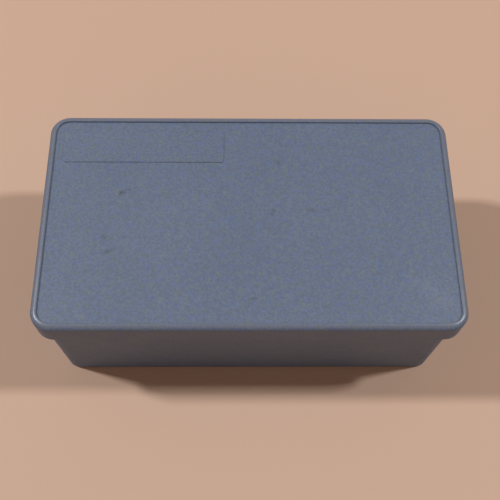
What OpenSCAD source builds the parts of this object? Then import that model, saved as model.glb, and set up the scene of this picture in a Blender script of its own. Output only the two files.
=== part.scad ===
// Bobbin box: a hinged case with a raised rim round its lid, and a lift-out peg tray of bobbins.
// Millimetres. +X runs along the box, +Y towards the hinge, +Z up, and the box stands on z = 0.
// The origin is under the middle of the whole box, hinge knuckles included.

/* [Case] */
// Length of the lid, its longest side
lid_w = 140; // [132:1:170]
// Depth of the lid, front to back
lid_d = 80; // [78:1:100]
// Height of the closed box
case_h = 51; // [46:1:65]
// Corner radius of the lid, seen from above
lid_corner = 6.7; // [6.2:0.1:9]

/* [Lid] */
// Height of the lid's skirt
skirt_h = 10.2; // [9.8:0.1:12]
// Wall of the skirt
skirt_t = 1.3; // [1.1:0.05:1.4]
// How far the skirt stands out past the base
overhang = 1.95; // [1.8:0.05:2.4]
// Thickness of the top panel
panel_t = 1.8; // [1.4:0.1:2.4]
// Rounding of the lid's outer top edge
lid_edge_r = 1.5; // [1:0.1:1.8]
// Rounding where the panel meets the skirt inside
lid_fillet_r = 0.5; // [0.2:0.05:0.6]

/* [Rim bead] */
// Width of the raised bead round the panel
bead_w = 2.3; // [2.1:0.1:3]
// Height of the bead above the panel
bead_h = 0.7; // [0.4:0.1:1]
// Rounding of the bead's inner edge
bead_inner_r = 0.4; // [0.2:0.05:0.4]

/* [Plain field] */
// Length of the raised plain field near the far left corner
field_w = 56; // [30:1:62]
// Depth of the raised plain field
field_d = 12.7; // [8:0.1:16]
// Height of the field above the panel
field_h = 0.3; // [0.1:0.05:0.5]
// Rounding of the field's corners
field_r = 1.2; // [0.5:0.1:2.5]
// Space between the field's left end and the bead
field_left = 2.9; // [1.5:0.1:5]
// Space between the field's far side and the bead
field_back = 3.7; // [1.5:0.1:5]

/* [Base] */
// Corner radius of the base at its rim
body_corner = 5.8; // [5.5:0.1:8]
// Slope of the base's walls, degrees
body_draft = 1.4; // [0:0.1:2]
// Wall of the base
wall_t = 2; // [1.6:0.1:2.4]
// Thickness of the floor
floor_t = 2; // [1.4:0.1:3]
// Height of the foot that runs round the underside
foot_h = 0.6; // [0.3:0.1:1.2]
// Width of that foot
foot_w = 3.2; // [2:0.1:4]
// Rounding of the base's outer bottom edge
base_edge_r = 0.8; // [0.4:0.1:1.2]
// Rounding between the floor and the walls inside
floor_fillet_r = 1.2; // [0.6:0.1:1.6]
// Step in from the wall to the neck that the lid closes over
neck_inset = 0.6; // [0.3:0.05:0.7]
// Height of that step above the skirt's lower edge
neck_cover = 1.5; // [0.5:0.1:3]
// Gap between the base's rim and the lid's panel
rim_gap = 0.2; // [0.1:0.05:0.4]

/* [Hinge] */
// Distance of each hinge from the end of the box
hinge_in = 32; // [22:1:45]
// Diameter of the steel hinge pins
pin_d = 1.6; // [1.2:0.1:2]
// Outer radius of the knuckles
knuckle_r = 2.2; // [2:0.1:2.3]
// Distance of the pin behind the lid's skirt
pin_back = 2.5; // [2.5:0.1:3.2]
// Depth of the pin below the top of the lid
pin_drop = 9.2; // [8.8:0.1:9.6]
// Width of the lid's knuckle
lid_knuckle_w = 10; // [6:0.5:16]
// Width of each of the base's two knuckles
base_knuckle_w = 5; // [3:0.5:8]
// Gap between neighbouring knuckles
knuckle_gap = 0.3; // [0.2:0.05:0.5]
// How far the lid opens, degrees
lid_open = 105; // [95:1:105]
// Thickness of the heel that stops the lid
heel_t = 1; // [0.6:0.1:1]
// Gap left between the heel and the wall when the lid is open
heel_gap = 0.17; // [0.1:0.01:0.3]
// Radial clearance of the pin in the lid's knuckle
pin_fit = 0.06; // [0.02:0.01:0.1]
// Radial clearance of the pin in the base's knuckles
pin_press = 0.01; // [0:0.01:0.02]

/* [Tray] */
// Gap between the tray and the walls at the floor
tray_gap = 0.5; // [0.3:0.05:1]
// Thickness of the tray's plate
tray_t = 1.8; // [1.4:0.1:2.4]
// Height of the tray's rim
tray_rim_h = 4; // [3:0.5:8]
// Wall of the tray's rim
tray_rim_t = 1.4; // [1:0.1:2]
// Bevel round the tray's lower edge, which clears the floor's fillet
tray_bevel = 1.2; // [1:0.1:1.6]
// Space between the tray's ends and the bobbins
end_room = 6; // [5:0.5:6.5]
// Space between the tray's long sides and the bobbins
side_room = 2.1; // [1.8:0.1:2.4]
// Least gap between the rows of bobbins
row_gap = 1.6; // [1.2:0.1:2]
// Depth of the round dish under each bobbin
dish_depth = 0.6; // [0.3:0.1:0.8]
// Gap round a bobbin in its dish
dish_gap = 0.5; // [0.3:0.05:0.5]
// Width of the lifting tab at each end
tab_w = 24; // [16:1:34]
// Height of the lifting tabs above the tray's underside
tab_h = 15; // [10:0.5:18]
// Thickness of the lifting tabs
tab_t = 1.8; // [1.4:0.1:2.2]
// Rounding of the tabs' top corners
tab_r = 5; // [2:0.5:6]
// Radius of the grip ribs on the tabs
grip_r = 0.5; // [0.3:0.05:0.7]
// Number of grip ribs on each tab
grips = 3; // [1:1:4]
// Distance from one grip rib to the next
grip_pitch = 1.8; // [1.6:0.1:2]
// Depth of the first grip rib below the tab's top
grip_drop = 2; // [1.5:0.1:2.5]

/* [Pegs] */
// Radial clearance between a peg and its bobbin
peg_fit = 0.25; // [0.15:0.05:0.5]
// How far a peg stands out of its bobbin
peg_proud = 1.4; // [0.8:0.1:3]
// Radius of the shoulder that a bobbin stands on
shoulder_r = 4.6; // [4.2:0.1:5]
// Height of the shoulder above the dish
shoulder_h = 0.3; // [0.1:0.05:0.5]
// Gap between the shoulder and the bobbin
seat_gap = 0.05; // [0.02:0.01:0.2]

/* [Bobbins] */
// Diameter of a bobbin's flanges, which a shallower box makes smaller
bobbin_d = 20.6; // [19.5:0.1:20.6]
// Height of a bobbin
bobbin_h = 11.1; // [9:0.1:12]
// Diameter of the hole through a bobbin
bobbin_hole_d = 6.2; // [5.8:0.1:6.6]
// Wall of the bobbin's tube
tube_t = 0.6; // [0.4:0.05:0.8]
// Thickness of the flanges
flange_t = 0.5; // [0.4:0.05:0.8]
// Height of the cup that a flange is pressed to, from its hub to its edge
cup_h = 0.5; // [0.2:0.05:0.8]
// Radius of the flat round the hole of a flange
hub_r = 5; // [4.8:0.1:5.4]
// Holes in each flange
flange_holes = 6; // [1:1:8]
// Diameter of the flange holes
flange_hole_d = 2.2; // [1:0.1:2.6]
// Distance of the flange holes in from the flange's edge
flange_hole_in = 2.9; // [2.5:0.1:3.4]

/* [Thread] */
// Depth of bare flange round the thread of a full bobbin
bare_rim = 1.1; // [0.9:0.1:1.9]
// How much less the least full bobbin carries
fill_spread = 1.8; // [0:0.1:2.5]
// How far the middle of the thread swells
thread_crown = 0.3; // [0:0.05:0.4]
// Gap between the thread and its bobbin
thread_gap = 0.05; // [0.02:0.01:0.1]

/* [Hidden] */
// The bobbins stand in rows of columns, numbered from the front left
rows = 3;
cols = 5;
bobbins = rows * cols;
// Bobbins that are kept empty
EMPTY = ["04", "07", "13"];
function two_digits(n) = n < 10 ? str("0", n) : str(n);
function bobbin_name(i) = str("bobbin_", two_digits(i + 1));
function thread_name(i) = str("thread_", two_digits(i + 1));
function is_wound(i) = len([for (name = EMPTY) if (name == two_digits(i + 1)) name]) == 0;

$fn = 64;
cut = 1;    // how far cutters run past the faces they cut
sink = 0.5; // how far a feature runs into what it stands on

// Heights
panel_top = case_h - bead_h;
ceiling_z = panel_top - panel_t;
skirt_z = case_h - skirt_h;
neck_z = skirt_z + neck_cover;
rim_z = ceiling_z - rim_gap;
floor_z = foot_h + floor_t;

// The base's outline at its reference height, the skirt's lower edge
body_w = lid_w - 2 * overhang;
body_d = lid_d - 2 * overhang;
slope = tan(body_draft);
function body_in(z) = (skirt_z - z) * slope; // how far the wall has drawn in at a height

// Hinge
hinge_x = lid_w / 2 - hinge_in;
pin_r = pin_d / 2;
pin_y = lid_d / 2 + pin_back;
pin_z = case_h - pin_drop;
hinge_reach = pin_back + knuckle_r;
web_tuck = 0.2;     // the webs leave the knuckles this far inside their round
web_gap = 0.35;     // between the base's webs and the skirt above them
web_bury = 1;       // how far a web runs into its wall
lid_web_rise = 4.5; // height of the lid's web above the pin
web_r = knuckle_r - web_tuck;
pin_len = lid_knuckle_w + 2 * (base_knuckle_w + knuckle_gap);
heel_reach = pin_y - body_d / 2 - heel_gap;

// The whole box is centred on the origin, so the case sits half the hinge's reach forward
case_y = -hinge_reach / 2;

// Tray
tray_w = body_w - 2 * (body_in(floor_z) + wall_t + tray_gap);
tray_d = body_d - 2 * (body_in(floor_z) + wall_t + tray_gap);
tray_corner = body_corner - wall_t - tray_gap;
tray_top = floor_z + tray_t;
flange_r = min(bobbin_d, (tray_d - 2 * side_room - (rows - 1) * row_gap) / rows) / 2;
pitch_x = (tray_w - 2 * (tray_rim_t + end_room + flange_r)) / (cols - 1);
pitch_y = (tray_d - 2 * (side_room + flange_r)) / (rows - 1);
peg_r = bobbin_hole_d / 2 - peg_fit;
dish_z = tray_top - dish_depth;
seat_z = dish_z + shoulder_h + seat_gap;
peg_top = seat_z + bobbin_h + peg_proud;
peg_tip_h = 1.2; // height of a peg's cone
peg_tip_r = 1.2; // how much the cone narrows

function spot(i) = [
    (i % cols - (cols - 1) / 2) * pitch_x,
    (floor(i / cols) - (rows - 1) / 2) * pitch_y
];
// How full bobbin i is wound, from 0 to 1, in no set order
FILLS = 11;
function fill(i) = (i * 7 % FILLS) / (FILLS - 1);
function thread_r(i) = flange_r - bare_rim - fill_spread * (1 - fill(i));
// Each bobbin was dropped on its peg at an angle of its own
function turned(i) = i * 37;

SHELL = "#6b778c";
STEEL = "#b9bcc0";
TRAY = "#c9c6bb";
THREADS = ["#9a2f35", "#2f4f7d", "#e8e2d0", "#3c6b4c", "#c98a2c", "#222428", "#7d5a86", "#b56a5a"];

// Puts a piece drawn round the case's middle in its place
module in_case() {
    translate([0, case_y, 0]) children();
}

// Sweeps a flat profile round a rounded rectangle and fills the middle level with it.
// The profile's x runs outwards from the centre of the corner arc, and its y is height.
module swept(w, d, r) {
    across = w - 2 * r;
    along = d - 2 * r;
    for (side = [0, 180]) rotate(side) {
        translate([across / 2, along / 2, 0]) rotate([90, 0, 0]) linear_extrude(along) children();
        translate([-across / 2, along / 2, 0]) rotate([90, 0, 90]) linear_extrude(across) children();
        translate([across / 2, along / 2, 0]) rotate_extrude(angle = 90) children();
        translate([-across / 2, along / 2, 0]) rotate([0, 0, 90]) rotate_extrude(angle = 90) children();
    }
}

// A quarter of a disc between the x and y axes, which rounds an edge
module quarter(r) {
    intersection() {
        circle(r);
        square(r);
    }
}

// Fills the corner between the x and y axes with a hollow rounding
module fillet(r) {
    difference() {
        square(r);
        translate([r, r]) circle(r);
    }
}

module slab(w, d, low, high) {
    translate([-w / 2, -d / 2, low]) cube([w, d, high - low]);
}

// ---- Lid ----

module lid_profile() {
    polygon([
        [0, ceiling_z], [lid_corner - skirt_t, ceiling_z], [lid_corner - skirt_t, skirt_z],
        [lid_corner, skirt_z], [lid_corner, case_h - lid_edge_r],
        [lid_corner - lid_edge_r, case_h], [lid_corner - bead_w + bead_inner_r, case_h],
        [lid_corner - bead_w, case_h - bead_inner_r], [lid_corner - bead_w, panel_top],
        [0, panel_top]
    ]);
    translate([lid_corner - lid_edge_r, case_h - lid_edge_r]) quarter(lid_edge_r);
    translate([lid_corner - bead_w + bead_inner_r, case_h - bead_inner_r])
        mirror([1, 0]) quarter(bead_inner_r);
    translate([lid_corner - skirt_t, ceiling_z]) rotate(180) fillet(lid_fillet_r);
}

// Knuckles run along X, so their outline is drawn in the YZ plane
module along_x(x, w) {
    translate([x - w / 2, 0, 0]) rotate([90, 0, 90]) linear_extrude(w) children();
}

module lid_knuckle_outline() {
    translate([pin_y, pin_z]) {
        circle(knuckle_r);
        rotate(180 + lid_open) square([heel_reach, heel_t]);
    }
    polygon([
        [lid_d / 2 - web_bury, skirt_z], [pin_y, skirt_z],
        [pin_y + web_r * cos(45), pin_z + web_r * sin(45)],
        [lid_d / 2, pin_z + lid_web_rise], [lid_d / 2 - web_bury, pin_z + lid_web_rise]
    ]);
}

module case_lid() {
    color(SHELL) in_case() difference() {
        union() {
            swept(lid_w, lid_d, lid_corner) lid_profile();
            slab(lid_w - 2 * lid_corner, lid_d - 2 * lid_corner, ceiling_z, panel_top);
            plain_field();
            for (x = [-hinge_x, hinge_x]) along_x(x, lid_knuckle_w) lid_knuckle_outline();
        }
        for (x = [-hinge_x, hinge_x]) hinge_bore(x, lid_knuckle_w, pin_r + pin_fit);
    }
}

module hinge_bore(x, w, r) {
    along_x(x, w + 2 * cut) translate([pin_y, pin_z]) circle(r);
}

// The low plain field near the far left corner of the panel
module plain_field() {
    left = -lid_w / 2 + bead_w + field_left;
    near = lid_d / 2 - bead_w - field_back - field_d;
    translate([left, near, panel_top - panel_t / 2]) linear_extrude(panel_t / 2 + field_h) {
        translate([field_r, 0]) square([field_w - 2 * field_r, field_d]);
        translate([0, field_r]) square([field_w, field_d - 2 * field_r]);
        for (x = [field_r, field_w - field_r], y = [field_r, field_d - field_r])
            translate([x, y]) circle(field_r);
    }
}

// ---- Base ----

module base_profile() {
    inner = body_corner - wall_t;
    low_in = body_in(0);
    floor_in = body_in(floor_z);
    neck = body_corner - body_in(neck_z) - neck_inset;
    polygon([
        [0, foot_h], [body_corner - low_in - foot_w, foot_h], [body_corner - low_in - foot_w, 0],
        [body_corner - low_in - base_edge_r, 0], [body_corner - low_in, base_edge_r],
        [body_corner - body_in(neck_z), neck_z], [neck, neck_z], [neck, rim_z],
        [inner - body_in(neck_z), rim_z], [inner - body_in(neck_z), neck_z],
        [inner - floor_in, floor_z], [0, floor_z]
    ]);
    translate([body_corner - low_in - base_edge_r, base_edge_r]) mirror([0, 1]) quarter(base_edge_r);
    translate([inner - floor_in, floor_z]) mirror([1, 0]) fillet(floor_fillet_r);
}

module base_knuckle_outline() {
    wall_y = body_d / 2 - web_bury;
    tail_y = pin_y + web_r * cos(45);
    tail_z = pin_z - web_r * sin(45);
    translate([pin_y, pin_z]) circle(knuckle_r);
    polygon([
        [wall_y, skirt_z - web_gap], [pin_y, skirt_z - web_gap], [tail_y, tail_z],
        [wall_y, tail_z - (tail_y - wall_y)]
    ]);
}

module case_base() {
    knuckle_off = (lid_knuckle_w + base_knuckle_w) / 2 + knuckle_gap;
    color(SHELL) in_case() difference() {
        union() {
            swept(body_w, body_d, body_corner) base_profile();
            slab(body_w - 2 * body_corner, body_d - 2 * body_corner, foot_h, floor_z);
            for (x = [-hinge_x, hinge_x], side = [-1, 1])
                along_x(x + side * knuckle_off, base_knuckle_w) base_knuckle_outline();
        }
        for (x = [-hinge_x, hinge_x]) hinge_bore(x, pin_len, pin_r + pin_press);
    }
}

module hinge_pin(x) {
    color(STEEL) in_case() along_x(x, pin_len) translate([pin_y, pin_z]) circle(pin_r);
}

// ---- Tray ----

module tray_profile() {
    rim_top = floor_z + tray_rim_h - tray_rim_t / 2;
    polygon([
        [0, floor_z], [tray_corner - tray_bevel, floor_z], [tray_corner, floor_z + tray_bevel],
        [tray_corner, rim_top], [tray_corner - tray_rim_t, rim_top],
        [tray_corner - tray_rim_t, tray_top], [0, tray_top]
    ]);
    translate([tray_corner - tray_rim_t / 2, rim_top]) circle(tray_rim_t / 2);
}

// A peg with the shoulder that its bobbin stands on, and a coned tip
module peg() {
    rotate_extrude() polygon([
        [0, dish_z - sink], [shoulder_r, dish_z - sink], [shoulder_r, dish_z + shoulder_h],
        [peg_r, dish_z + shoulder_h], [peg_r, peg_top - peg_tip_h],
        [peg_r - peg_tip_r, peg_top], [0, peg_top]
    ]);
}

// A tab at each end to lift the tray by, with grip ribs on its inner side
module lifting_tab() {
    outer_x = tray_w / 2 - tray_rim_t / 2;
    top = floor_z + tab_h;
    translate([outer_x - tab_t, 0, 0]) rotate([90, 0, 90]) linear_extrude(tab_t) {
        translate([-tab_w / 2, tray_top - sink]) square([tab_w, top - tab_r - tray_top + sink]);
        translate([-tab_w / 2 + tab_r, top - tab_r - sink]) square([tab_w - 2 * tab_r, tab_r + sink]);
        for (y = [-1, 1]) translate([y * (tab_w / 2 - tab_r), top - tab_r]) circle(tab_r);
    }
    for (n = [0 : grips - 1])
        translate([outer_x - tab_t, 0, top - grip_drop - n * grip_pitch]) rotate([90, 0, 0])
            cylinder(r = grip_r, h = tab_w - 2 * tab_r, center = true);
}

module peg_tray() {
    color(TRAY) in_case() {
        difference() {
            union() {
                swept(tray_w, tray_d, tray_corner) tray_profile();
                slab(tray_w - 2 * tray_corner, tray_d - 2 * tray_corner, floor_z, tray_top);
                for (side = [0, 180]) rotate(side) lifting_tab();
            }
            for (i = [0 : bobbins - 1]) translate([spot(i).x, spot(i).y, dish_z])
                cylinder(r = flange_r + dish_gap, h = dish_depth + cut);
        }
        for (i = [0 : bobbins - 1]) translate(spot(i)) peg();
    }
}

// ---- Bobbins ----

// Height of a lower flange's inner face at radius r
function flange_in(r) = flange_t + (r <= hub_r ? 0 : cup_h * (r - hub_r) / (flange_r - hub_r));

module bobbin(i) {
    hole_r = bobbin_hole_d / 2;
    tube_r = hole_r + tube_t;
    color(STEEL) in_case() translate([spot(i).x, spot(i).y, seat_z]) difference() {
        rotate_extrude() polygon([
            [hole_r, 0], [hub_r, 0], [flange_r, cup_h], [flange_r, flange_in(flange_r)],
            [hub_r, flange_t], [tube_r, flange_t],
            [tube_r, bobbin_h - flange_t], [hub_r, bobbin_h - flange_t],
            [flange_r, bobbin_h - flange_in(flange_r)], [flange_r, bobbin_h - cup_h],
            [hub_r, bobbin_h], [hole_r, bobbin_h]
        ]);
        for (n = [0 : flange_holes - 1]) rotate(turned(i) + n * 360 / flange_holes)
            translate([flange_r - flange_hole_in, 0, -cut])
                cylinder(d = flange_hole_d, h = bobbin_h + 2 * cut);
    }
}

module thread(i) {
    in_r = bobbin_hole_d / 2 + tube_t + thread_gap;
    out_r = thread_r(i);
    low = flange_t + thread_gap;
    edge = flange_in(out_r) + thread_gap;
    color(THREADS[i % len(THREADS)]) in_case() translate([spot(i).x, spot(i).y, seat_z])
        rotate_extrude() polygon([
            [in_r, low], [hub_r, low], [out_r, edge], [out_r + thread_crown, bobbin_h / 2],
            [out_r, bobbin_h - edge], [hub_r, bobbin_h - low], [in_r, bobbin_h - low]
        ]);
}

case_base();
case_lid();
hinge_pin(-hinge_x);  // hinge_pin_left
hinge_pin(hinge_x);  // hinge_pin_right
peg_tray();
for (i = [0 : bobbins - 1]) {
    bobbin(i);
    if (is_wound(i)) thread(i);
}
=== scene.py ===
# Looks of a bobbin box: a hinged moulded case, a lift-out peg tray, steel bobbins and their thread.
# Metres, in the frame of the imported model: +X along the box, +Y towards the hinge, +Z up.
import math

import bmesh
import bpy
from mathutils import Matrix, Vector


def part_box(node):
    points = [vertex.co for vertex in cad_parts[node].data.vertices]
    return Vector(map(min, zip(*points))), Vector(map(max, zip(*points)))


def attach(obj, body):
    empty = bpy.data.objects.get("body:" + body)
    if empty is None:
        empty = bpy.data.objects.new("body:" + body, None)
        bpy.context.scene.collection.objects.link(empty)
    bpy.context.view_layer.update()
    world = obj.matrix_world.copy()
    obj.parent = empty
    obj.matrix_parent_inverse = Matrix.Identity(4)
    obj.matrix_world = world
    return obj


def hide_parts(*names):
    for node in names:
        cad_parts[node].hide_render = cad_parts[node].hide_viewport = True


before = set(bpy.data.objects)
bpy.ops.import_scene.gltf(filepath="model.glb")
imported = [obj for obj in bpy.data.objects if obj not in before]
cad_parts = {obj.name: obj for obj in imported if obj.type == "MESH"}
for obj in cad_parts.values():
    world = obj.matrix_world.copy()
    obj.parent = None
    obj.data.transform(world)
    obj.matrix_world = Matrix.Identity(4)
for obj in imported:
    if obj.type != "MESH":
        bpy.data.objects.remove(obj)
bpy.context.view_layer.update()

# ---- Base of the case ----
# The lower half of the case: a drafted box on a low foot, with a stepped neck that the lid closes
# over and four hinge knuckles behind. Injection moulded in one piece from blue-grey polystyrene
# that is dyed right through.

MM = 0.001
tray_low, tray_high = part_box("peg_tray")
case_y = (tray_low.y + tray_high.y) / 2  # middle of the case; the knuckles stand out behind it
floor_z = tray_low.z
NEAR = 0.02 * MM  # how closely a face or an edge has to lie where it is looked for


def take(o):
    """Makes o the one selected object."""
    bpy.ops.object.select_all(action="DESELECT")
    o.select_set(True)
    bpy.context.view_layer.objects.active = o


def pick(o, kind, wanted):
    """Selects in edit mode just the faces, edges or vertices that wanted() says yes to."""
    bpy.ops.mesh.select_mode(type=kind)
    bpy.ops.mesh.select_all(action="DESELECT")
    shape = bmesh.from_edit_mesh(o.data)
    for part in {"VERT": shape.verts, "EDGE": shape.edges, "FACE": shape.faces}[kind]:
        if wanted(part):
            part.select_set(True)
    bmesh.update_edit_mesh(o.data)


def push(z=0):
    """Extrudes the selected faces and moves them up, or down where z is negative."""
    bpy.ops.mesh.extrude_region_move(TRANSFORM_OT_translate={"value": (0, 0, z)})


def facing(way, z=None):
    """Chooses the level faces that look up (1) or down (-1), at height z where one is given."""
    return lambda f: f.normal.z * way > 0.9 and (
        z is None or abs(f.calc_center_median().z - z) < NEAR
    )


def inward(p, outline):
    """How far p lies in from an outline (width, depth, corner radius) round the case's middle."""
    w, d, r = outline
    x, y = abs(p.x) - w / 2 + r, abs(p.y - case_y) - d / 2 + r
    return r - (math.hypot(x, y) if x > 0 and y > 0 else max(x, y))


def ring(outline, z, depth):
    """Chooses the edges that run round the case at height z, that depth in from its outline."""
    play = 2.5 * NEAR  # an inset drifts a little at the round corners
    return lambda e: all(
        abs(v.co.z - z) < NEAR and abs(inward(v.co, outline) - depth) < play for v in e.verts
    )


def turn_outwards():
    """Makes every face of the mesh in edit mode point outwards."""
    bpy.ops.mesh.select_all(action="SELECT")
    bpy.ops.mesh.normals_make_consistent()


def cap(o):
    """Closes the open side of a shell with one face."""
    pick(o, "EDGE", lambda e: e.is_boundary)
    bpy.ops.mesh.edge_face_add()
    turn_outwards()


def round_off(o, wanted, r, steps):
    """Rounds the chosen edges."""
    pick(o, "EDGE", wanted)
    bpy.ops.mesh.bevel(offset=r, segments=steps, affect="EDGES", profile=0.5, clamp_overlap=False)


def rounded_face(name, outline, z, way, steps=12):
    """Starts a moulding: one level face with round corners, left in edit mode and selected."""
    w, d, r = outline
    turn = 0 if way > 0 else math.pi
    bpy.ops.mesh.primitive_plane_add(size=1, location=(0, case_y, z), rotation=(turn, 0, 0))
    o = bpy.context.object
    o.name = o.data.name = name
    o.scale = (w, d, 1)
    take(o)
    bpy.ops.object.transform_apply()
    bpy.ops.object.mode_set(mode="EDIT")
    bpy.ops.mesh.select_all(action="SELECT")
    bpy.ops.mesh.bevel(offset=r, segments=steps, affect="VERTICES", profile=0.5)
    pick(o, "FACE", lambda f: True)
    return o


def block(name, low, high, rotation=(0, 0, 0)):
    """Adds a cuboid between two corners as the start of a piece."""
    low, high = Vector(low), Vector(high)
    bpy.ops.mesh.primitive_cube_add(size=1, location=(low + high) / 2, rotation=rotation)
    o = bpy.context.object
    o.name = o.data.name = name
    o.scale = high - low
    take(o)
    bpy.ops.object.transform_apply()
    return o


def rod(name, start, length, r, sides, along="Z"):
    """Adds a cylinder that starts at a point and runs along X or Z."""
    turn = (0, math.pi / 2, 0) if along == "X" else (0, 0, 0)
    middle = Vector(start) + Vector((length / 2, 0, 0) if along == "X" else (0, 0, length / 2))
    bpy.ops.mesh.primitive_cylinder_add(
        vertices=sides, radius=r, depth=length, location=middle, rotation=turn
    )
    o = bpy.context.object
    o.name = o.data.name = name
    take(o)
    bpy.ops.object.transform_apply()
    return o


def carve(o, tool, operation="UNION"):
    """Joins or cuts o with another solid, which is then used up."""
    take(o)
    cut = o.modifiers.new("carve", "BOOLEAN")
    cut.operation, cut.solver, cut.object = operation, "EXACT", tool
    bpy.ops.object.modifier_apply(modifier=cut.name)
    bpy.data.objects.remove(tool)


def trim(o, width, steps=2, angle=35):
    """Takes the sharpness off every edge of a small solid."""
    take(o)
    soft = o.modifiers.new("trim", "BEVEL")
    soft.width, soft.segments, soft.limit_method = width, steps, "ANGLE"
    soft.angle_limit = math.radians(angle)
    bpy.ops.object.modifier_apply(modifier=soft.name)


def smooth(o, angle=32):
    """Clears slivers that joining left, shades the roundings smoothly and keeps the flats flat."""
    sliver = 0.004 * MM
    take(o)
    bpy.ops.object.mode_set(mode="EDIT")
    bpy.ops.mesh.select_all(action="SELECT")
    bpy.ops.mesh.remove_doubles(threshold=sliver)
    bpy.ops.mesh.dissolve_degenerate(threshold=sliver)
    bpy.ops.object.mode_set(mode="OBJECT")
    bpy.ops.object.shade_smooth_by_angle(angle=math.radians(angle))
    even = o.modifiers.new("even", "WEIGHTED_NORMAL")
    even.keep_sharp = True
    bpy.ops.object.modifier_apply(modifier=even.name)


def hand_over(o, material, slot, body, *nodes):
    """Gives a finished piece its material and body, and lets it stand for its CAD nodes. The slot is
    not used.
    """
    o.data.materials.clear()
    o.data.materials.append(material)
    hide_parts(*nodes)
    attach(o, body)


def paint(code):
    """The linear colour of an sRGB hex code."""
    parts = [int(code[i:i + 2], 16) / 255 for i in (1, 3, 5)]
    return [c / 12.92 if c <= 0.04045 else ((c + 0.055) / 1.055) ** 2.4 for c in parts] + [1]


def node(tree, kind, sockets, **settings):
    """Adds a shader node with its settings, and sets or links its sockets."""
    made = tree.nodes.new("ShaderNode" + kind)
    for key, value in settings.items():
        setattr(made, key, value)
    for key, value in sockets.items():
        if isinstance(value, bpy.types.NodeSocket):
            tree.links.new(value, made.inputs[key])
        else:
            made.inputs[key].default_value = value
    return made


def new_material(name):
    """Gives an empty material, with its node tree and its object coordinates."""
    material = bpy.data.materials.new(name)
    material.use_nodes = True
    tree = material.node_tree
    tree.nodes.clear()
    place = node(tree, "TexCoord", {}).outputs["Object"]
    return material, tree, place


# Polystyrene, moulded against a fine spark-eroded surface: an even satin grey-blue with a soft
# grain, rubbed smoother on the rim where it is handled, and with a few scuffs on the lid. The rim's
# crown is also painted greyer, a painted reflection, and pale rubs on the lid's top carry painted
# sheen and highlight as well as wear. A noise's scale is its patches to the millimetre. The real
# grain is finer, and is drawn coarse enough to show.
polystyrene, tree, place = new_material("moulded_polystyrene_blue_grey")
SOFT = {"From Min": 0.3, "From Max": 0.7}  # a noise spread over most of its range
CRISP = {"From Min": 0.35, "From Max": 0.65}  # the same with more contrast
FACTOR, A, B, RESULT = 0, 6, 7, 2  # the sockets of a Mix node that mixes colours
case_h, panel_top = 51 * MM, 50.3 * MM  # the lid's rim, and the panel inside it
# A mark is its middle x and y and half its length and width in mm, its angle in degrees and its
# strength. The scuffs are dark. The rubs are pale and smoother: worn patches whose paleness is
# also painted sheen and highlight, most of it near the front corners.
SCUFFS = [
    (-43.2, 6.9, 2.2, 1.3, 35, 1.00),
    (-40.8, 8.2, 1.4, 0.8, 40, 0.60),
    (10.1, 18.8, 1.2, 2.0, 5, 0.60),
    (-48.5, -10.2, 2.4, 1.5, 60, 0.60),
    (-46.5, -15.0, 3.0, 1.4, 25, 0.60),
    (7.9, -0.4, 1.3, 2.6, -10, 0.50),
    (21.4, 0.3, 4.5, 1.2, -12, 0.40),
    (1.3, -31.6, 1.4, 1.0, 0, 0.60),
]
RUBS_AND_SHEEN = [
    (58.0, -28.0, 12.0, 4.0, -28, 0.16),
    (62.0, -33.0, 8.0, 5.0, -20, 0.10),
    (-60.0, -33.0, 9.0, 7.0, 0, 0.10),
    (-20.0, 2.0, 24.0, 6.0, 12, 0.08),
]


def marks(tree, place, rows):
    """Adds up soft oval marks on the lid's top and breaks them up with noise."""
    total = None
    for x, y, long, wide, angle, strength in rows:
        here = node(tree, "Mapping", {
            "Vector": place,
            "Location": (x * MM, y * MM, case_h),
            "Rotation": (0, 0, math.radians(angle)),
            "Scale": (long * MM, wide * MM, 1),
        }, vector_type="TEXTURE")
        far = node(tree, "VectorMath", {0: here.outputs[0]}, operation="LENGTH")
        spot = node(tree, "MapRange", {
            "Value": far.outputs["Value"], "From Min": 1, "From Max": 0.1, "To Max": strength,
        }, interpolation_type="SMOOTHSTEP").outputs[0]
        total = spot if total is None else node(tree, "Math", {0: total, 1: spot}).outputs[0]
    noise = node(tree, "TexNoise", {"Vector": place, "Scale": 0.9 / MM, "Detail": 3, "Roughness": 0.6})
    broken = node(tree, "MapRange", {
        "Value": noise.outputs["Fac"], "From Min": 0.34, "From Max": 0.56,
    }).outputs[0]
    height = node(tree, "SeparateXYZ", {0: place}).outputs["Z"]
    least = panel_top - 0.4 * MM
    on_top = node(tree, "Math", {0: height, 1: least}, operation="GREATER_THAN").outputs[0]
    marked = node(tree, "Math", {0: total, 1: broken}, operation="MULTIPLY").outputs[0]
    return node(tree, "Math", {0: marked, 1: on_top}, operation="MULTIPLY", use_clamp=True).outputs[0]


cloud = node(tree, "TexNoise", {"Vector": place, "Scale": 0.028 / MM, "Detail": 3, "Roughness": 0.55})
cloudy = node(tree, "MapRange", {"Value": cloud.outputs["Fac"], **CRISP, "To Max": 0.22})
tint = node(tree, "TexNoise", {"Vector": place, "Scale": 0.46 / MM, "Detail": 4, "Roughness": 0.65})
tinted = node(tree, "MapRange", {"Value": tint.outputs["Fac"], **CRISP})
plastic = node(tree, "Mix", {
    FACTOR: tinted.outputs[0], A: paint("#606f7c"), B: paint("#57698e"),
}, data_type="RGBA")
plastic = node(tree, "Mix", {
    FACTOR: cloudy.outputs[0], A: plastic.outputs[RESULT], B: paint("#6e7b93"),
}, data_type="RGBA")
speck = node(tree, "TexNoise", {"Vector": place, "Scale": 1.3 / MM, "Detail": 3, "Roughness": 0.6})
specked = node(tree, "MapRange", {"Value": speck.outputs["Fac"], **CRISP, "To Max": 0.55})
plastic = node(tree, "Mix", {
    FACTOR: specked.outputs[0], A: plastic.outputs[RESULT], B: paint("#455064"),
}, data_type="RGBA")
scuffs = marks(tree, place, SCUFFS)
rubs_and_sheen = marks(tree, place, RUBS_AND_SHEEN)
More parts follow.
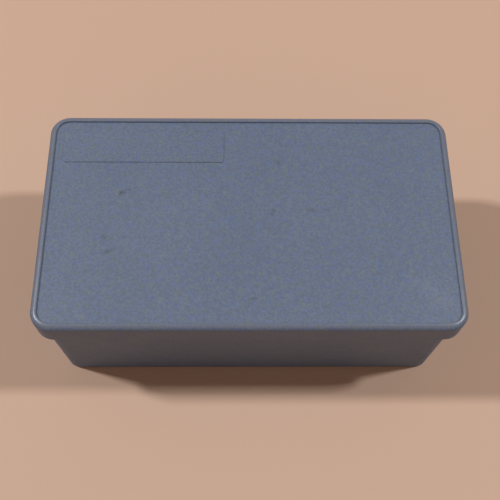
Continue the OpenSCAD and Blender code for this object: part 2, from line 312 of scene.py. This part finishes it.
plastic = node(tree, "Mix", {
    FACTOR: scuffs, A: plastic.outputs[RESULT], B: paint("#3a4150"),
}, data_type="RGBA")
# Painted sheen and highlight: the rubs make these patches paler, as well as worn.
plastic = node(tree, "Mix", {
    FACTOR: rubs_and_sheen, A: plastic.outputs[RESULT], B: paint("#7a869b"),
}, data_type="RGBA")
rim_polish_and_reflection = node(tree, "Attribute", {}, attribute_name="rim_polish_and_reflection").outputs["Fac"]
# Painted reflection: the rim's crown is painted greyer.
painted_rim_reflection = node(tree, "Math", {0: rim_polish_and_reflection, 1: 0.3}, operation="MULTIPLY").outputs[0]
plastic = node(tree, "Mix", {
    FACTOR: painted_rim_reflection, A: plastic.outputs[RESULT], B: paint("#6f7077"),
}, data_type="RGBA")
worn = node(tree, "TexNoise", {"Vector": place, "Scale": 0.16 / MM, "Detail": 4, "Roughness": 0.65})
rough = node(tree, "MapRange", {
    "Value": worn.outputs["Fac"], **SOFT, "To Min": 0.50, "To Max": 0.60,
})
rough = node(tree, "Math", {0: rim_polish_and_reflection, 1: -0.22, 2: rough.outputs[0]}, operation="MULTIPLY_ADD")
rough = node(tree, "Math", {0: rubs_and_sheen, 1: -0.1, 2: rough.outputs[0]}, operation="MULTIPLY_ADD")
grain = node(tree, "TexNoise", {"Vector": place, "Scale": 1.8 / MM, "Detail": 2, "Roughness": 0.5})
bump = node(tree, "Bump", {"Strength": 0.25, "Distance": 0.12 * MM, "Height": grain.outputs["Fac"]})
shader = node(tree, "BsdfPrincipled", {
    "Base Color": plastic.outputs[RESULT], "Roughness": rough.outputs[0], "IOR": 1.5,
    "Normal": bump.outputs[0],
})
node(tree, "OutputMaterial", {"Surface": shader.outputs[0]})

# An outline is a width, a depth and a corner radius. The case's is at the skirt's lower edge.
case_outline = (136.1 * MM, 76.1 * MM, 5.8 * MM)
draft = math.tan(math.radians(1.4))
skirt_z, neck_z, rim_z = 40.8 * MM, 42.3 * MM, 48.3 * MM
flare = (neck_z - skirt_z) * draft  # how far the walls lean out from the skirt's edge to the neck
neck_outline = (case_outline[0] + 2 * flare, case_outline[1] + 2 * flare, case_outline[2] + flare)
wall, neck_step, foot_w, foot_h = 2 * MM, 0.6 * MM, 3.2 * MM, 0.6 * MM

# Drawn down from the step: the walls, the foot and the underside. Then up and in from the step:
# the neck, the inner walls and the floor.
foot_in, floor_in = neck_z * draft, wall + (neck_z - floor_z) * draft
base = rounded_face("case_base_moulding", neck_outline, neck_z, -1)
bpy.ops.mesh.inset(thickness=foot_in, depth=neck_z)
bpy.ops.mesh.inset(thickness=foot_w)
push(z=foot_h)
cap(base)
pick(base, "FACE", facing(1, neck_z))
bpy.ops.mesh.inset(thickness=neck_step)
push(z=rim_z - neck_z)
bpy.ops.mesh.inset(thickness=wall - neck_step)
push(z=neck_z - rim_z)
bpy.ops.mesh.inset(thickness=floor_in - wall, depth=floor_z - neck_z)
for z, depth, r, steps in (
    (0, foot_in, 0.8 * MM, 4),  # outer edge of the foot
    (0, foot_in + foot_w, 0.25 * MM, 2),  # inner edge of the foot
    (neck_z, 0, 0.2 * MM, 2),  # the step below the neck
    (rim_z, neck_step, 0.3 * MM, 3),  # outer edge of the neck
    (rim_z, wall, 0.3 * MM, 3),  # inner edge of the neck
    (floor_z, floor_in, 1.2 * MM, 4),  # the floor, where it meets the walls
):
    round_off(base, ring(neck_outline, z, depth), r, steps)
bpy.ops.object.mode_set(mode="OBJECT")

# The plastic was let in below, and the cut gate stays behind within the foot.
gate_r, gate_h = 1.5 * MM, 0.35 * MM
gate = rod("gate", (0, case_y, foot_h - gate_h), 2 * gate_h, gate_r, 32)
carve(base, gate)

# The hinge's knuckles are barrels on webs. The base's stand outside the lid's on a common pin.
pin_r, pin_fit, knuckle_r, pin_z = 0.8 * MM, 0.06 * MM, 2.2 * MM, 41.8 * MM
pin_low, pin_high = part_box("hinge_pin_left")
pin_y = (pin_low.y + pin_high.y) / 2
hinge_x = 38 * MM
lid_knuckle_w, base_knuckle_w, knuckle_gap = 10 * MM, 5 * MM, 0.3 * MM
back_y = case_y + case_outline[1] / 2  # outer face of the base's rear wall
web_reach = 1.41 * MM  # how far the webs run past the pin
web_tail = pin_y + web_reach
# A base web's height at the wall and at its tail, its gap below the skirt, and its hold in the wall
web_h, web_end_h, web_gap, web_bury = 7 * MM, 0.1 * MM, 0.35 * MM, 1 * MM
KNUCKLE_SIDES = 40


def bore_through(knuckle, x, w):
    """Bores a knuckle of width w for the pin, and breaks its edges."""
    past = 1 * MM
    bore = rod("bore", (x - past, pin_y, pin_z), w + 2 * past, pin_r + pin_fit, 24, along="X")
    carve(knuckle, bore, "DIFFERENCE")
    trim(knuckle, 0.12 * MM)


for hinge in (-hinge_x, hinge_x):
    for side in (-1, 1):
        x = hinge + side * ((lid_knuckle_w + base_knuckle_w) / 2 + knuckle_gap) - base_knuckle_w / 2
        start = (x, pin_y, pin_z)
        knuckle = rod("base_knuckle", start, base_knuckle_w, knuckle_r, KNUCKLE_SIDES, along="X")
        top = skirt_z - web_gap
        web = block(
            "base_web", (x, back_y - web_bury, top - web_h), (x + base_knuckle_w, web_tail, top)
        )
        bpy.ops.object.mode_set(mode="EDIT")
        pick(web, "VERT", lambda v: v.co.y > web_tail - NEAR and v.co.z < top - NEAR)
        bpy.ops.transform.translate(value=(0, 0, web_h - web_end_h))
        bpy.ops.object.mode_set(mode="OBJECT")
        carve(knuckle, web)
        bore_through(knuckle, x, base_knuckle_w)
        carve(base, knuckle)
smooth(base)
hand_over(base, polystyrene, "case_plastic", "case", "case_base")

# ---- Lid of the case ----
# The upper half: a flat panel inside a raised rim, with a skirt that hangs over the base and a low
# plain field in its far left corner. One moulding of the same polystyrene, hinged behind on two
# knuckles, each with a heel that lands on the rear wall and stops the lid.

lid_outline = (140 * MM, 80 * MM, 6.7 * MM)
skirt_t, rim_w, ceiling = 1.3 * MM, 2.3 * MM, 48.5 * MM

# Drawn up from the skirt's lower edge: the outside, the rim and the panel. Then up inside it.
lid = rounded_face("case_lid_moulding", lid_outline, skirt_z, 1)
push(z=case_h - skirt_z)
bpy.ops.mesh.inset(thickness=rim_w)
push(z=panel_top - case_h)
turn_outwards()
pick(lid, "FACE", facing(-1, skirt_z))
bpy.ops.mesh.inset(thickness=skirt_t)
push(z=ceiling - skirt_z)
for z, depth, r, steps in (
    (case_h, 0, 1.85 * MM, 8),  # outer edge of the rim
    (case_h, rim_w, 0.4 * MM, 4),  # inner edge of the rim
    (panel_top, rim_w, 0.15 * MM, 2),  # the panel, where it meets the rim
    (skirt_z, 0, 0.25 * MM, 2),  # outer edge of the skirt
    (skirt_z, skirt_t, 0.2 * MM, 2),  # inner edge of the skirt
    (ceiling, skirt_t, 0.5 * MM, 3),  # the inside of the panel, where it meets the skirt
):
    round_off(lid, ring(lid_outline, z, depth), r, steps)
bpy.ops.object.mode_set(mode="OBJECT")

# The plain field is a thin plate on the panel, with round corners and a soft top edge.
field_w, field_d, field_h, field_r = 56 * MM, 12.7 * MM, 0.3 * MM, 1.2 * MM
field_from_left, field_from_back = 2.9 * MM, 3.7 * MM
lid_back = case_y + lid_outline[1] / 2
field_x = -lid_outline[0] / 2 + rim_w + field_from_left
field_y = lid_back - rim_w - field_from_back
field = block(
    "plain_field",
    (field_x, field_y - field_d, panel_top - field_h),
    (field_x + field_w, field_y, panel_top + field_h),
)
bpy.ops.object.mode_set(mode="EDIT")
round_off(field, lambda e: abs(e.verts[0].co.z - e.verts[1].co.z) > field_h, field_r, 6)
round_off(field, lambda e: all(v.co.z > panel_top + field_h - NEAR for v in e.verts), 0.25 * MM, 3)
bpy.ops.object.mode_set(mode="OBJECT")
carve(lid, field)

# A heel hangs down from the pin, and has turned level to meet the wall once the lid is open.
LID_OPENS = 105  # degrees
heel_turn = math.radians(180 + LID_OPENS)
heel_gap, heel_t = 0.17 * MM, 1 * MM
heel_reach = pin_y - back_y - heel_gap
lid_web_rise, lid_web_bury = 4.5 * MM, 0.7 * MM
for hinge in (-hinge_x, hinge_x):
    x = hinge - lid_knuckle_w / 2
    start = (x, pin_y, pin_z)
    knuckle = rod("lid_knuckle", start, lid_knuckle_w, knuckle_r, KNUCKLE_SIDES, along="X")
    high = pin_z + lid_web_rise
    web = block(
        "lid_web", (x, lid_back - lid_web_bury, skirt_z), (x + lid_knuckle_w, web_tail, high)
    )
    bpy.ops.object.mode_set(mode="EDIT")
    pick(web, "VERT", lambda v: v.co.y > web_tail - NEAR and v.co.z > high - NEAR)
    bpy.ops.transform.translate(value=(0, 0, web_reach - lid_web_rise))
    pick(web, "VERT", lambda v: v.co.y > web_tail - NEAR and v.co.z < skirt_z + NEAR)
    bpy.ops.transform.translate(value=(0, -web_reach, 0))
    bpy.ops.object.mode_set(mode="OBJECT")
    carve(knuckle, web)
    across = Vector((0, math.cos(heel_turn), math.sin(heel_turn)))
    beside = Vector((0, -math.sin(heel_turn), math.cos(heel_turn)))
    middle = Vector((hinge, pin_y, pin_z)) + across * heel_reach / 2 + beside * heel_t / 2
    half = Vector((lid_knuckle_w, heel_reach, heel_t)) / 2
    heel = block("heel", middle - half, middle + half, (heel_turn, 0, 0))
    carve(knuckle, heel)
    bore_through(knuckle, x, lid_knuckle_w)
    carve(lid, knuckle)

# Ejector pins left shallow round marks inside the lid.
mark_r, mark_depth, below = 2.5 * MM, 0.08 * MM, 1 * MM
for x in (-52 * MM, 0, 52 * MM):
    for y in (case_y - 24 * MM, case_y + 24 * MM):
        mark = rod("ejector", (x, y, ceiling - below), below + mark_depth, mark_r, 32)
        carve(lid, mark, "DIFFERENCE")
smooth(lid)

# Hands have polished the crown of the rim. The same mark also paints the crown greyer in the
# material, a painted reflection.
rim_polish_and_reflection_layer = lid.data.attributes.new("rim_polish_and_reflection", "FLOAT", "POINT")
for v, value in zip(lid.data.vertices, rim_polish_and_reflection_layer.data):
    on_rim = v.co.z > panel_top + 0.2 * MM and inward(v.co, lid_outline) < rim_w - 0.05 * MM
    value.value = 1.0 if on_rim else 0.0
hand_over(lid, polystyrene, "case_plastic", "lid", "case_lid")

# ---- Hinge pins ----
# Two short pins of drawn steel wire, cut to length, chamfered at the ends and pressed into the
# base's knuckles.

# Drawn steel: bright but not mirror-like, with marks from the die along the wire. They are really
# finer, and are drawn coarse enough to show.
steel_wire, tree, place = new_material("drawn_steel_wire")
lines = node(tree, "Mapping", {"Vector": place, "Scale": (0.03 / MM, 2.6 / MM, 2.6 / MM)})
drawn = node(tree, "TexNoise", {"Vector": lines.outputs[0], "Scale": 1, "Detail": 3})
dull = node(tree, "MapRange", {
    "Value": drawn.outputs["Fac"], **SOFT, "To Min": 0.26, "To Max": 0.42,
})
bump = node(tree, "Bump", {"Strength": 0.2, "Distance": 0.03 * MM, "Height": drawn.outputs["Fac"]})
shader = node(tree, "BsdfPrincipled", {
    "Base Color": paint("#b4b6b8"), "Metallic": 1.0, "Roughness": dull.outputs[0],
    "Normal": bump.outputs[0],
})
node(tree, "OutputMaterial", {"Surface": shader.outputs[0]})

for name in ("hinge_pin_left", "hinge_pin_right"):
    low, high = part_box(name)
    pin = rod(name + "_wire", (low.x, pin_y, pin_z), high.x - low.x, pin_r, 32, along="X")
    trim(pin, 0.2 * MM)
    smooth(pin, angle=40)
    hand_over(pin, steel_wire, "pin_steel", "case", name)

# ---- Peg tray ----
# A lift-out tray with a low rim, a round dish and a peg with a shoulder for each bobbin, and a
# ribbed tab at each end to lift it by. Moulded in one piece from cream polystyrene.

# Cream polystyrene: glossier than the case, slightly translucent and a little dusty.
cream, tree, place = new_material("moulded_polystyrene_cream")
cloud = node(tree, "TexNoise", {"Vector": place, "Scale": 0.035 / MM, "Detail": 3})
tone = node(tree, "Mix", {
    FACTOR: cloud.outputs["Fac"], A: paint("#bdb8a8"), B: paint("#cbc7b9"),
}, data_type="RGBA")
dust = node(tree, "TexNoise", {"Vector": place, "Scale": 0.42 / MM, "Detail": 4, "Roughness": 0.7})
dusty = node(tree, "MapRange", {
    "Value": dust.outputs["Fac"], "From Min": 0.55, "From Max": 0.75, "To Max": 0.3,
})
tone = node(tree, "Mix", {
    FACTOR: dusty.outputs[0], A: tone.outputs[RESULT], B: paint("#a39c8a"),
}, data_type="RGBA")
worn = node(tree, "TexNoise", {"Vector": place, "Scale": 0.15 / MM, "Detail": 3})
rough = node(tree, "MapRange", {
    "Value": worn.outputs["Fac"], **SOFT, "To Min": 0.34, "To Max": 0.48,
})
grain = node(tree, "TexNoise", {"Vector": place, "Scale": 1.5 / MM, "Detail": 2})
bump = node(tree, "Bump", {"Strength": 0.15, "Distance": 0.1 * MM, "Height": grain.outputs["Fac"]})
shader = node(tree, "BsdfPrincipled", {
    "Base Color": tone.outputs[RESULT], "Roughness": rough.outputs[0], "IOR": 1.59,
    "Subsurface Weight": 0.08, "Subsurface Radius": (1.2 * MM, 1.0 * MM, 0.7 * MM),
    "Subsurface Scale": 1.0, "Normal": bump.outputs[0],
})
node(tree, "OutputMaterial", {"Surface": shader.outputs[0]})

tray_outline = (tray_high.x - tray_low.x, tray_high.y - tray_low.y, 3.3 * MM)
tray_bevel, tray_top, tray_rim_top = 1.2 * MM, floor_z + 1.8 * MM, floor_z + 4 * MM
tray_rim_t, dish_z, seat_z = 1.4 * MM, floor_z + 1.2 * MM, floor_z + 1.55 * MM

# Drawn down to the underside, then up to the rim, and in and down to the top between the dishes.
tray = rounded_face("peg_tray_moulding", tray_outline, floor_z + tray_bevel, -1, 8)
bpy.ops.mesh.inset(thickness=tray_bevel, depth=tray_bevel)
cap(tray)
pick(tray, "FACE", facing(1, floor_z + tray_bevel))
push(z=tray_rim_top - floor_z - tray_bevel)
bpy.ops.mesh.inset(thickness=tray_rim_t)
push(z=tray_top - tray_rim_top)
for z, depth, r, steps in (
    (tray_rim_top, 0, 0.65 * MM, 4),  # outer edge of the rim
    (tray_rim_top, tray_rim_t, 0.65 * MM, 4),  # inner edge of the rim
    (tray_top, tray_rim_t, 0.4 * MM, 3),  # the top, where it meets the rim
    (floor_z, tray_bevel, 0.3 * MM, 2),  # edge of the underside
):
    round_off(tray, ring(tray_outline, z, depth), r, steps)
bpy.ops.object.mode_set(mode="OBJECT")

BOBBINS = [f"{n:02d}" for n in range(1, 16)]
bobbin_r, bobbin_h, hole_r = 10.3 * MM, 11.1 * MM, 3.1 * MM
dish_fit, dish_cut = 0.5 * MM, 2 * MM
spots = {}
for number in BOBBINS:
    low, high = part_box("bobbin_" + number)
    spots[number] = ((low.x + high.x) / 2, (low.y + high.y) / 2)
    dish = rod("dish", (*spots[number], dish_z), dish_cut, bobbin_r + dish_fit, 72)
    carve(tray, dish, "DIFFERENCE")


def copied(o, name, place, turn=0):
    """Sets down a copy of o, with a mesh of its own, at a place and turned about Z."""
    copy = o.copy()
    copy.data = o.data.copy()
    copy.name = copy.data.name = name
    bpy.context.scene.collection.objects.link(copy)
    copy.location = place
    copy.rotation_euler = (0, 0, turn)
    take(copy)
    bpy.ops.object.transform_apply()
    return copy


# One peg: a disc drawn up through its shoulder and shaft to a coned tip.
shoulder_r, shoulder_h, peg_root = 4.6 * MM, 0.3 * MM, 1 * MM
peg_r, peg_cone, peg_top = 2.85 * MM, 1.2 * MM, seat_z + bobbin_h + 1.4 * MM
bpy.ops.mesh.primitive_circle_add(
    vertices=40, radius=shoulder_r, fill_type="NGON", location=(0, 0, 0)
)
peg = bpy.context.object
peg.name = peg.data.name = "peg"
take(peg)
bpy.ops.object.mode_set(mode="EDIT")
bpy.ops.mesh.select_all(action="SELECT")
push(z=peg_root + shoulder_h)
bpy.ops.mesh.inset(thickness=shoulder_r - peg_r)
push(z=peg_top - peg_cone - dish_z - shoulder_h)
bpy.ops.mesh.inset(thickness=peg_cone, depth=peg_cone)
turn_outwards()
bpy.ops.object.mode_set(mode="OBJECT")
trim(peg, 0.2 * MM, angle=20)
for number in BOBBINS:
    carve(tray, copied(peg, "peg_" + number, (*spots[number], dish_z - peg_root)))
bpy.data.objects.remove(peg)

# The end tabs rise from the tray's rim, with a round top and three ribs on the inside for the grip.
tab_w, tab_t, tab_top, tab_r = 24 * MM, 1.8 * MM, floor_z + 15 * MM, 5 * MM
tab_bury = 0.5 * MM
rib_r, rib_w, first_rib, rib_step = 0.5 * MM, tab_w - 2 * tab_r, 2 * MM, 1.8 * MM
for side in (-1, 1):
    outer = tray_outline[0] / 2 - tray_rim_t / 2
    inner = outer - tab_t
    near, far = sorted((side * inner, side * outer))
    tab = block(
        "tab", (near, case_y - tab_w / 2, tray_top - tab_bury), (far, case_y + tab_w / 2, tab_top)
    )
    bpy.ops.object.mode_set(mode="EDIT")
    round_off(tab, lambda e: all(v.co.z > tab_top - NEAR for v in e.verts)
              and abs(e.verts[0].co.x - e.verts[1].co.x) > tab_t / 2, tab_r, 10)
    bpy.ops.object.mode_set(mode="OBJECT")
    trim(tab, 0.35 * MM, steps=3)
    for n in range(3):
        rib = rod("rib", (0, 0, 0), rib_w, rib_r, 16)
        rib.rotation_euler = (math.pi / 2, 0, 0)
        rib.location = (side * inner, case_y + rib_w / 2, tab_top - first_rib - n * rib_step)
        take(rib)
        bpy.ops.object.transform_apply()
        trim(rib, 0.3 * MM, steps=3, angle=40)
        carve(tab, rib)
    carve(tray, tab)
smooth(tray)
hand_over(tray, cream, "tray_plastic", "tray", "peg_tray")

# ---- Bobbins ----
# Fifteen small steel bobbins, each two dished and pierced flanges pressed on to a short tube, then
# nickel plated.

# Nickel-plated pressed steel: bright and slightly warm, with hairlines from use in three directions.
# They are really finer, and are drawn a fifth of a millimetre wide so that they show.
nickel, tree, place = new_material("nickel_plated_pressed_steel")
scratch = None
for angle in (20, 75, 140):
    lines = node(tree, "Mapping", {
        "Vector": place, "Rotation": (0, 0, math.radians(angle)),
        "Scale": (0.12 / MM, 5.2 / MM, 0.9 / MM),
    })
    fine = node(tree, "TexNoise", {"Vector": lines.outputs[0], "Scale": 1, "Detail": 2}).outputs["Fac"]
    hair = node(tree, "MapRange", {"Value": fine, "From Min": 0.62, "From Max": 0.72}).outputs[0]
    scratch = hair if scratch is None else node(
        tree, "Math", {0: scratch, 1: hair}, operation="MAXIMUM"
    ).outputs[0]
tarnish = node(tree, "TexNoise", {"Vector": place, "Scale": 0.26 / MM, "Detail": 4, "Roughness": 0.6})
tone = node(tree, "Mix", {
    FACTOR: tarnish.outputs["Fac"], A: paint("#c2c3c2"), B: paint("#a9aaa9"),
}, data_type="RGBA")
rough = node(tree, "MapRange", {
    "Value": tarnish.outputs["Fac"], **SOFT, "To Min": 0.2, "To Max": 0.34,
})
rough = node(tree, "Math", {0: scratch, 1: 0.15, 2: rough.outputs[0]}, operation="MULTIPLY_ADD")
bump = node(tree, "Bump", {"Strength": 0.12, "Distance": 0.03 * MM, "Height": scratch})
shader = node(tree, "BsdfPrincipled", {
    "Base Color": tone.outputs[RESULT], "Metallic": 1.0, "Roughness": rough.outputs[0],
    "Normal": bump.outputs[0],
})
node(tree, "OutputMaterial", {"Surface": shader.outputs[0]})

flange_t, dished, hub_r, tube_r = 0.5 * MM, 0.5 * MM, 5 * MM, 3.7 * MM
ROUND = 72  # sides of a turned piece


def widen(factor):
    """Widens the selected faces round the Z axis."""
    bpy.ops.transform.resize(value=(factor, factor, 1), center_override=(0, 0, flange_t))


def open_through(o):
    """Opens a turned piece from its one round end face to the other."""
    pick(o, "FACE", lambda f: len(f.verts) == ROUND)
    bpy.ops.mesh.bridge_edge_loops()


def circle(r, z):
    """Chooses the edges that run round a turned piece's axis at a radius and a height."""
    return lambda e: all(
        abs(math.hypot(*v.co.xy) - r) < NEAR and abs(v.co.z - z) < NEAR for v in e.verts
    )


# One bobbin, drawn down from its upper flange: along the tube, out to the lower flange, and then
# through the middle. Both flanges are dished round a flat hub that stands out of them.
bobbin = rod("bobbin", (0, 0, bobbin_h - dished - flange_t), flange_t, bobbin_r, ROUND)
bpy.ops.object.mode_set(mode="EDIT")
pick(bobbin, "FACE", facing(1))
bpy.ops.mesh.inset(thickness=bobbin_r - hub_r, depth=dished)
bpy.ops.mesh.inset(thickness=hub_r - hole_r)
pick(bobbin, "FACE", facing(-1))
bpy.ops.mesh.inset(thickness=bobbin_r - hub_r, depth=-dished)
bpy.ops.mesh.inset(thickness=hub_r - tube_r)
push(z=2 * flange_t - bobbin_h)
push()  # in place, and then widened
widen(hub_r / tube_r)
push(z=dished)
widen(bobbin_r / hub_r)
push(z=-flange_t)
bpy.ops.mesh.inset(thickness=bobbin_r - hub_r, depth=dished)
bpy.ops.mesh.inset(thickness=hub_r - hole_r)
open_through(bobbin)
turn_outwards()
for z in (dished, dished + flange_t, bobbin_h - dished - flange_t, bobbin_h - dished):
    round_off(bobbin, circle(bobbin_r, z), 0.14 * MM, 2)
for z in (0, bobbin_h):
    round_off(bobbin, circle(hole_r, z), 0.35 * MM, 3)
    round_off(bobbin, circle(hub_r, z), 0.5 * MM, 2)
bpy.ops.object.mode_set(mode="OBJECT")

# Six holes are pierced through both flanges.
pierced_r, from_axis, past = 1.1 * MM, 7.4 * MM, 1 * MM
for n in range(6):
    angle = n * math.pi / 3
    start = (from_axis * math.cos(angle), from_axis * math.sin(angle), -past)
    pierced = rod("pierced", start, bobbin_h + 2 * past, pierced_r, 24)
    carve(bobbin, pierced, "DIFFERENCE")
smooth(bobbin, angle=30)

# Nobody lines the holes up, so each bobbin stands turned on its peg by an angle of its own.
for index, number in enumerate(BOBBINS):
    turn = math.radians(37 * index)
    copy = copied(bobbin, f"bobbin_{number}_pressed", (*spots[number], seat_z), turn)
    hand_over(copy, nickel, "bobbin_steel", "reel_" + number, "bobbin_" + number)
bpy.data.objects.remove(bobbin)

# ---- Thread ----
# Machine thread of mercerised cotton, wound on twelve of the bobbins in close turns. Each is wound
# to a thickness of its own and swells a little in the middle.

# Mercerised cotton: deep colour with a soft sheen on the crown of each turn, and painted shade
# between the turns and beside the flanges, where the colour is darkened. The fibres are drawn
# nearly half a millimetre across, so that they show.
COLOURS = {
    "red": "#8e2f35", "navy": "#2c4668", "cream": "#e3dcc8", "green": "#3c6549",
    "ochre": "#c08a35", "black": "#24262a", "violet": "#75577f", "coral": "#b26a5a",
}
cottons = {}
for colour, code in COLOURS.items():
    cotton, tree, place = new_material("mercerised_cotton_" + colour)
    crown = node(tree, "Attribute", {}, attribute_name="crown").outputs["Fac"]
    fuzz = node(tree, "TexNoise", {"Vector": place, "Scale": 2.4 / MM, "Detail": 3, "Roughness": 0.7})
    full = paint(code)
    # Painted shade: the grooves between the turns are painted at half the colour.
    painted_groove_shade = [c * 0.5 for c in full[:3]] + [1]
    tone = node(tree, "Mix", {FACTOR: crown, A: painted_groove_shade, B: full}, data_type="RGBA")
    fleck = node(tree, "MapRange", {
        "Value": fuzz.outputs["Fac"], "From Min": 0.4, "From Max": 0.8, "To Max": 0.35,
    })
    light = [c * 0.8 + 0.06 for c in full[:3]] + [1]
    tone = node(tree, "Mix", {
        FACTOR: fleck.outputs[0], A: tone.outputs[RESULT], B: light,
    }, data_type="RGBA")
    bump = node(tree, "Bump", {"Strength": 0.4, "Distance": 0.08 * MM, "Height": fuzz.outputs["Fac"]})
    shader = node(tree, "BsdfPrincipled", {
        "Base Color": tone.outputs[RESULT], "Roughness": 0.62, "Sheen Weight": 0.35,
        "Sheen Roughness": 0.4, "Normal": bump.outputs[0],
    })
    node(tree, "OutputMaterial", {"Surface": shader.outputs[0]})
    cottons[colour] = cotton

EMPTY = ("04", "07", "13")  # bobbins with no thread left on them
turn_h, turn_depth = 0.42 * MM, 0.06 * MM  # thread of 0.2 mm, drawn at twice its size so it shows
least_r, most_r, swell = 7.4 * MM, 9.2 * MM, 0.3 * MM
flange_gap, tube_gap = 0.08 * MM, 0.05 * MM
STEPS = 4  # rings of vertices to each turn
# Painted shade: beside the flanges the thread is painted darker than its full colour.
END_SHADE = 0.6  # how much of its full colour the thread shows beside the flanges
for index, number in enumerate(BOBBINS):
    if number in EMPTY:
        continue
    fill = index * 7 % 11 / 10  # from 0 to 1, in no plain order
    full_r = least_r + (most_r - least_r) * fill
    slope = dished * (full_r - hub_r) / (bobbin_r - hub_r)  # how far the flange is dished by there
    side_z = flange_t + slope + flange_gap
    height = bobbin_h - 2 * side_z
    turns = round(height / turn_h)
    wound = rod(f"thread_{number}_wound", (0, 0, side_z), height, full_r, ROUND)
    bpy.ops.object.mode_set(mode="EDIT")
    for way in (1, -1):
        pick(wound, "FACE", facing(way))
        bpy.ops.mesh.inset(thickness=full_r - hub_r, depth=slope)
        bpy.ops.mesh.inset(thickness=hub_r - tube_r - tube_gap)
    open_through(wound)
    pick(wound, "EDGE", lambda e: abs(e.verts[0].co.z - e.verts[1].co.z) > height / 2
         and math.hypot(*e.verts[0].co.xy) > full_r - NEAR)
    bpy.ops.mesh.subdivide(number_cuts=STEPS * turns - 1)
    turn_outwards()
    bpy.ops.object.mode_set(mode="OBJECT")

    # The turns run round the outside as a screw thread, and their crowns are marked so that the
    # colour paints shade in the grooves between them.
    crown = wound.data.attributes.new("crown", "FLOAT", "POINT")
    for v, value in zip(wound.data.vertices, crown.data):
        r = math.hypot(*v.co.xy)
        up = (v.co.z - side_z) / height
        if r > full_r - NEAR and -0.001 < up < 1.001:
            phase = up * turns - math.atan2(v.co.y, v.co.x) / (2 * math.pi)
            ridge = 0.5 - 0.5 * math.cos(2 * math.pi * phase)
            r_new = full_r + 4 * swell * up * (1 - up) - turn_depth * (1 - ridge)
            v.co.x, v.co.y = v.co.x * r_new / r, v.co.y * r_new / r
            value.value = ridge
        else:
            value.value = END_SHADE
    wound.location = (*spots[number], seat_z)
    take(wound)
    bpy.ops.object.transform_apply()
    bpy.ops.object.shade_smooth_by_angle(angle=math.radians(60))
    colour = list(COLOURS)[index % len(COLOURS)]
    hand_over(wound, cottons[colour], "thread_" + colour, "reel_" + number, "thread_" + number)

# ---- Floor, light and camera ----
# A plain pale table top, two soft lamps high on the left and on the right, a little behind the
# box, and the camera above the front of the box.

ROOM_COLOUR, ROOM_SEEN, ROOM_LIGHT = paint("#f8e8da"), 0.89, 0.24


def seen_directly(tree):
    """Gives 1 where the camera, or metal or gloss, looks straight at a backdrop, and 0 elsewhere."""
    path = node(tree, "LightPath", {})
    seen = path.outputs["Is Camera Ray"]
    for ray in ("Is Glossy Ray", "Is Transmission Ray"):
        seen = node(tree, "Math", {0: seen, 1: path.outputs[ray]}, use_clamp=True).outputs[0]
    return seen


# Matt paint with a faint mottle. The table top fades into the pale room well away from the box.
fade_from, fade_to, floor_size = 450 * MM, 2400 * MM, 6000 * MM
floor_paint, tree, place = new_material("floor_paint")
mottle = node(tree, "TexNoise", {"Vector": place, "Scale": 0.006 / MM, "Detail": 2})
tone = node(tree, "Mix", {
    FACTOR: mottle.outputs["Fac"], A: paint("#c2a591"), B: paint("#c6a995"),
}, data_type="RGBA")
shader = node(tree, "BsdfPrincipled", {"Base Color": tone.outputs[RESULT], "Roughness": 0.7})
pale = node(tree, "Emission", {"Color": ROOM_COLOUR, "Strength": ROOM_SEEN})
away = node(tree, "VectorMath", {0: place}, operation="LENGTH")
away = node(tree, "MapRange", {
    "Value": away.outputs["Value"], "From Min": fade_from, "From Max": fade_to,
}, interpolation_type="SMOOTHSTEP")
fade = node(tree, "Math", {0: away.outputs[0], 1: seen_directly(tree)}, operation="MULTIPLY")
surface = node(tree, "MixShader", {0: fade.outputs[0], 1: shader.outputs[0], 2: pale.outputs[0]})
node(tree, "OutputMaterial", {"Surface": surface.outputs[0]})
bpy.ops.mesh.primitive_plane_add(size=floor_size, location=(0, 0, 0))
floor = bpy.context.object
floor.name = "floor"
floor.data.materials.append(floor_paint)


def lamp(name, place, power):
    """Adds a soft square white lamp that looks at the box."""
    light = bpy.data.lights.new(name, "AREA")
    light.shape, light.size, light.energy = "SQUARE", 160 * MM, power
    o = bpy.data.objects.new(name, light)
    bpy.context.scene.collection.objects.link(o)
    o.location = place
    aim = Vector((0, 0, 30 * MM)) - Vector(place)
    o.rotation_euler = aim.to_track_quat("-Z", "Y").to_euler()


lamp("left_lamp", (-1.30, 0.29, 1.80), 26.0)
lamp("right_lamp", (1.24, 0.165, 1.80), 20.5)

world = bpy.data.worlds.new("studio")
bpy.context.scene.world = world
world.use_nodes = True
tree = world.node_tree
tree.nodes.clear()
# The room is dim, so the lamps shape the box, but metal and gloss see it as a pale room.
seen = seen_directly(tree)
strength = node(
    tree, "Math", {0: seen, 1: ROOM_SEEN - ROOM_LIGHT, 2: ROOM_LIGHT}, operation="MULTIPLY_ADD"
)
hue = node(tree, "Mix", {FACTOR: seen, A: paint("#ffd9c0"), B: ROOM_COLOUR}, data_type="RGBA")
sky = node(tree, "Background", {"Color": hue.outputs[RESULT], "Strength": strength.outputs[0]})
node(tree, "OutputWorld", {"Surface": sky.outputs[0]})

camera = bpy.data.objects.new("camera", bpy.data.cameras.new("camera"))
bpy.context.scene.collection.objects.link(camera)
camera.data.sensor_width, camera.data.lens, camera.data.clip_start = 36, 56.85, 10 * MM
camera.location = (-4.20 * MM, -124.22 * MM, 286.10 * MM)
camera.rotation_euler = [math.radians(a) for a in (24.956, -0.874, -0.344)]
bpy.context.scene.camera = camera
bpy.context.scene.view_settings.view_transform = "Standard"
